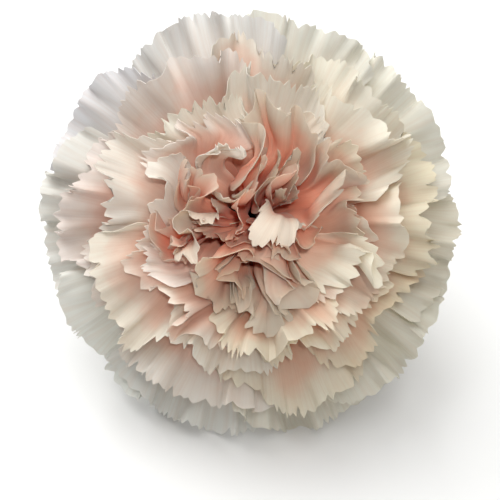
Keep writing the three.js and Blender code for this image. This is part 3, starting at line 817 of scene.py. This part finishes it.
def calyx_point(offset, along, azimuth):
    full = bundle_radius(along) + CALYX_CLEARANCE + offset
    under = np.clip(along / (CALYX_BOTTOM - offset), 0, 1)
    neck = NECK_RADIUS + 0.3 + offset / 2
    low = neck + (full - neck) * np.sqrt(np.maximum(1 - under * under, 0))
    bent = np.maximum(along - CLAW_LENGTH, 0)
    out, up = arc_run(0 * bent, COLLAR_LEAN * bent / BEND_LENGTH, bent)
    radius = np.where(along >= 0, full, low) + out
    height = np.minimum(along, CLAW_LENGTH) + up
    return np.stack([radius * np.cos(azimuth), radius * np.sin(azimuth), height], -1)


def build_calyx():
    """The ribbed outside from the neck up to the teeth, and the plain inside back down."""
    count = CALYX_TEETH * TOOTH_COLUMNS
    azimuth = np.arange(count) / count * TAU
    tooth = np.abs((azimuth * CALYX_TEETH / math.pi) % 2 - 1)
    top = CALYX_NOTCH + CALYX_TOOTH * smooth(tooth, -0.15, 1.0) ** 0.9
    floor_shares = np.linspace(-1, 0, CALYX_FLOOR_ROWS + 1)[:-1]
    shares = np.concatenate([floor_shares, np.linspace(0, 1, CALYX_WALL_ROWS)])
    ribs = sum(height * np.cos(azimuth * turns) for height, turns in CALYX_RIBS)
    sides = []
    for share in shares:
        along = np.where(share < 0, -share * (CALYX_BOTTOM - CALYX_WALL), share * top)
        wall = CALYX_WALL - CALYX_THINNING * smooth(share, 0.75, 1.0)
        bulge = CALYX_BULGE * np.sin(math.pi * np.clip(share, 0, 1)) ** 2
        sides.append(calyx_point(wall + ribs * smooth(along, -1, 3) + bulge, along, azimuth))
    for share in shares[::-1]:
        along = np.where(share < 0, -share * CALYX_BOTTOM, share * top)
        sides.append(calyx_point(0.0, along, azimuth))
    points = np.array(sides)
    index = np.arange(len(points) * count).reshape(-1, count)
    after, above = np.roll(index, -1, 1), np.roll(index, -1, 0)
    faces = np.stack([index, after, np.roll(above, -1, 1), above], -1).reshape(-1, 4).tolist()
    shares = np.maximum(np.concatenate([shares, shares[::-1]]), 0)
    reach = np.repeat(shares[:, None], count, 1)
    values = {
        "across": np.broadcast_to(azimuth * CALYX_AROUND, reach.shape),
        "reach": reach * 4,
        "edge": smooth(reach * top - (top - CALYX_DRY), 0.0, 1.0) * 0.8,
    }
    piece = add_piece("fine_calyx", points.reshape(-1, 3), faces, CALYX_GREEN, values)
    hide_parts("calyx")


def build_bract(k):
    """A scale at the calyx's foot, with a midrib and a thin edge; every other one is outside."""
    azimuth, layer = (k + 0.5) / BRACT_COUNT * TAU, k % 2
    offset = CALYX_WALL + BRACT_GAP + BRACT_THICKNESS / 2 + layer * (BRACT_THICKNESS + BRACT_GAP)
    across = np.linspace(-1, 1, 33)
    share = np.linspace(0, 1, 44)[:, None]
    along = mix(BRACT_BOTTOM, BRACT_TOP * (1 - 0.12 * layer), share) + 0 * across
    taper = 1 - smooth(share, 0.4, 0.97) * 0.985
    grid = np.broadcast_to(across, along.shape)
    ribs = grid * taper * KEEL_SHARPNESS
    keel = KEEL_HEIGHT * np.exp(-(ribs**2)) * (1 - share)
    points = calyx_point(offset + keel, along, azimuth + grid * BRACT_HALF_ANGLE * taper)
    thin = 1 - 0.75 * smooth(np.abs(grid), 0.6, 1.0)
    thickness = BRACT_THICKNESS * thin * (1 - 0.5 * smooth(share, 0.7, 1.0))
    vertices, faces = thick_sheet(points, thickness)
    dry_side, dry_tip = smooth(np.abs(grid), 0.8, 1.0), smooth(share + 0 * grid, 0.9, 1.0)
    values = {
        "across": both_sides(ribs),
        "reach": both_sides(share * 4 + 0 * grid),
        "edge": both_sides(np.maximum(dry_side, dry_tip) * 0.75),
    }
    piece = add_piece(f"fine_bract_{k + 1}", vertices, faces, BRACT_GREEN, values)
    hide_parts(f"bract_{k + 1}")


def lathe(name, profile, count, material, edge, wobble):
    """A closed body round the bloom's axis, from a profile that starts and ends on the axis."""
    profile = np.array(profile, float)
    azimuth = np.arange(count) / count * TAU
    inner = profile[1:-1]
    radius = inner[:, :1] * (1 + wobble * np.cos(azimuth * 7) * (inner[:, :1] > 1))
    height = inner[:, 1:] + 0 * azimuth
    points = np.stack([radius * np.cos(azimuth), radius * np.sin(azimuth), height], -1)
    index, after, quads = tube(len(inner), count)
    low, high = index.size, index.size + 1
    caps = [[low, b, a] for a, b in zip(index[0], after[0])]
    caps += [[high, a, b] for a, b in zip(index[-1], after[-1])]
    ends = np.array([[0, 0, profile[0, 1]], [0, 0, profile[-1, 1]]])

    def with_ends(values, first, last):
        return np.concatenate([np.repeat(values, count), [first, last]])

    heights = profile[:, 1] * LENGTH_TO_REACH
    around = np.broadcast_to(azimuth, index.shape).reshape(-1) * STEM_RADIUS
    values = {
        "across": np.concatenate([around, [0, 0]]),
        "reach": with_ends(heights[1:-1], heights[0], heights[-1]),
        "edge": with_ends(edge[1:-1], edge[0], edge[-1]),
    }
    vertices = np.concatenate([points.reshape(-1, 3), ends])
    piece = add_piece(f"fine_{name}", vertices, quads + caps, material, values)
    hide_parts(name)


def build_stem():
    """The stem from its cut face up, with the neck and the receptacle on it."""
    corners = [
        (0, STEM_END), (STEM_RADIUS - 0.55, STEM_END + 0.12), (STEM_RADIUS - 0.1, STEM_END),
        (STEM_RADIUS, STEM_END + 0.15), (STEM_RADIUS, NECK_FROM), (NECK_RADIUS, NECK_TO),
        (NECK_RADIUS, -1.7), (RECEPTACLE_RADIUS, -1.0), (RECEPTACLE_RADIUS, -0.1),
        (RECEPTACLE_RADIUS - 0.1, 0), (0, 0),
    ]
    profile = []
    for (r0, z0), (r1, z1) in zip(corners, corners[1:]):
        for t in np.linspace(0, 1, 7)[:-1]:
            profile.append((mix(r0, r1, t), mix(z0, z1, t)))
    profile = np.array(profile + [corners[-1]])
    radius, height = profile[:, 0], profile[:, 1]
    in_neck = (height > NECK_FROM + 0.1) & (height < NECK_TO - 0.1)
    widening = mix(STEM_RADIUS, NECK_RADIUS, smooth(height, NECK_FROM, NECK_TO))
    profile[:, 0] = np.where(in_neck, widening, radius)
    on_cut = (profile[:, 0] < STEM_RADIUS - CUT_RIM) & (height < STEM_END + 1)
    lathe("stem", profile, STEM_COLUMNS, STEM_GREEN, np.where(on_cut, CUT_PALE, 0.0), 0.012)


def build_ovary():
    share = np.linspace(0, 1, 40)
    bulge = np.maximum(np.sin(math.pi * np.minimum(0.12 + share * 0.88, 1)), 0) ** 0.7
    side = list(zip(OVARY_RADIUS * bulge, mix(OVARY_BOTTOM, OVARY_HEIGHT, share)))
    profile = [(0, OVARY_BOTTOM)] + side[:-1] + [(0, OVARY_HEIGHT)]
    lathe("ovary", profile, OVARY_COLUMNS, OVARY_GREEN, np.zeros(len(profile)), 0.03)


def build_style(number, side):
    """A slender style that runs up between the petals and is thinner at its tip."""
    sideways = STYLE_AZIMUTH + side * math.pi / 2
    along = np.linspace(OVARY_HEIGHT + OVARY_CLEARANCE, STYLE_END, STYLE_ROWS)
    (x0, y0), (x1, y1) = polar(STYLE_DISTANCE, STYLE_AZIMUTH), polar(STYLE_OFFSET, sideways)
    foot_x, foot_y = polar(STYLE_FOOT, sideways)
    foot = np.stack([foot_x + 0 * along, foot_y + 0 * along, along], -1)
    risen = smooth(along, CLAW_LENGTH - 6, CLAW_LENGTH + 4)[:, None]
    line = mix(foot, bloom_line(x0 + x1 + 0 * along, y0 + y1 + 0 * along, along), risen)
    forward = unit(np.gradient(line, axis=0))
    across = unit(np.cross(forward, [*polar(1, sideways), 0]))
    other = np.cross(forward, across)
    angle = np.arange(STYLE_COLUMNS) / STYLE_COLUMNS * TAU
    radius = STYLE_RADIUS * (1 - 0.45 * smooth(along, STYLE_END - 6, STYLE_END))
    ring = across[:, None] * np.cos(angle)[:, None] + other[:, None] * np.sin(angle)[:, None]
    points = line[:, None] + ring * radius[:, None, None]
    index, _, quads = tube(STYLE_ROWS, STYLE_COLUMNS)
    faces = quads + [index[0][::-1].tolist(), index[-1].tolist()]
    tip = smooth(along, STYLE_END - 8, STYLE_END) * 0.5
    values = {
        "across": np.broadcast_to(angle, index.shape),
        "reach": np.repeat(along * LENGTH_TO_REACH, STYLE_COLUMNS),
        "edge": np.repeat(tip, STYLE_COLUMNS),
    }
    name = f"style_{number}"
    piece = add_piece(f"fine_{name}", points.reshape(-1, 3), faces, STYLE_WHITE, values)
    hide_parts(name)


for petal in petal_list():
    build_petal(petal, *PETAL_LOOKS[petal["kind"]])
build_calyx()
for k in range(BRACT_COUNT):
    build_bract(k)
build_stem()
build_ovary()
build_style(1, 1)
build_style(2, -1)


# ---- Floor, light and camera ----
SPAN = 0.0952  # width of the frame at the bloom's face
CAMERA_DISTANCE, CAMERA_SHIFT, SENSOR_WIDTH = 0.33, -0.054, 36
FACE_HEIGHT = 33.0
FLOOR_REACH, FLOOR_ALBEDO, FLOOR_ROUGHNESS = 2, 0.88, 0.8
WORLD_COLOUR, WORLD_STRENGTH = (0.96, 0.98, 1.0, 1), 0.32

face_centre = in_frame(np.array([0.0, 0.0, FACE_HEIGHT]))


def look_at_face(thing, place):
    thing.location = place
    thing.rotation_mode = "QUATERNION"
    thing.rotation_quaternion = (Vector(face_centre) - Vector(place)).to_track_quat("-Z", "Y")


def add_floor():
    shader = Shader("floor")
    shader.set(Base_Color=grey(FLOOR_ALBEDO), Roughness=FLOOR_ROUGHNESS)
    mesh = bpy.data.meshes.new("floor")
    corners = [(-1, -1), (1, -1), (1, 1), (-1, 1)]
    mesh.from_pydata([(x * FLOOR_REACH, y * FLOOR_REACH, 0) for x, y in corners], [], [range(4)])
    mesh.materials.append(shader.material)
    floor = bpy.data.objects.new("floor", mesh)
    link(floor)


def add_camera():
    data = bpy.data.cameras.new("camera")
    data.sensor_width = SENSOR_WIDTH
    data.lens = SENSOR_WIDTH * CAMERA_DISTANCE / SPAN
    data.shift_y = CAMERA_SHIFT
    camera = bpy.data.objects.new("camera", data)
    link(camera)
    look_at_face(camera, face_centre + AXIS * CAMERA_DISTANCE)
    bpy.context.scene.camera = camera


def add_light(kind, name, offset, energy, colour, **settings):
    """A light at an offset from the bloom's face, in metres along the bloom's own axes."""
    data = bpy.data.lights.new(name, kind)
    data.energy = energy
    data.color = colour
    for key, value in settings.items():
        setattr(data, key, value)
    light = bpy.data.objects.new(name, data)
    link(light)
    look_at_face(light, face_centre + TURN @ np.array(offset))


def add_world():
    world = bpy.data.worlds.new("studio")
    world.use_nodes = True
    background = world.node_tree.nodes["Background"]
    background.inputs["Color"].default_value = WORLD_COLOUR
    background.inputs["Strength"].default_value = WORLD_STRENGTH
    bpy.context.scene.world = world


add_floor()
add_camera()
add_light("AREA", "key", (-0.30, 0.78, 0.23), 8.4, (0.99, 1.0, 0.99), size=0.8)
add_light("AREA", "fill", (0.06, 0.34, 0.58), 2.3, (0.99, 0.97, 0.93), size=0.6)
# a soft beam on the heart, which fades out towards its rim
add_light(
    "SPOT", "beam", (0.03, 0.06, 0.60), 12.0, (1.0, 0.99, 0.96),
    shadow_soft_size=0.018, spot_size=0.098, spot_blend=1.0,
)
add_world()
bpy.context.scene.view_settings.view_transform = "Standard"
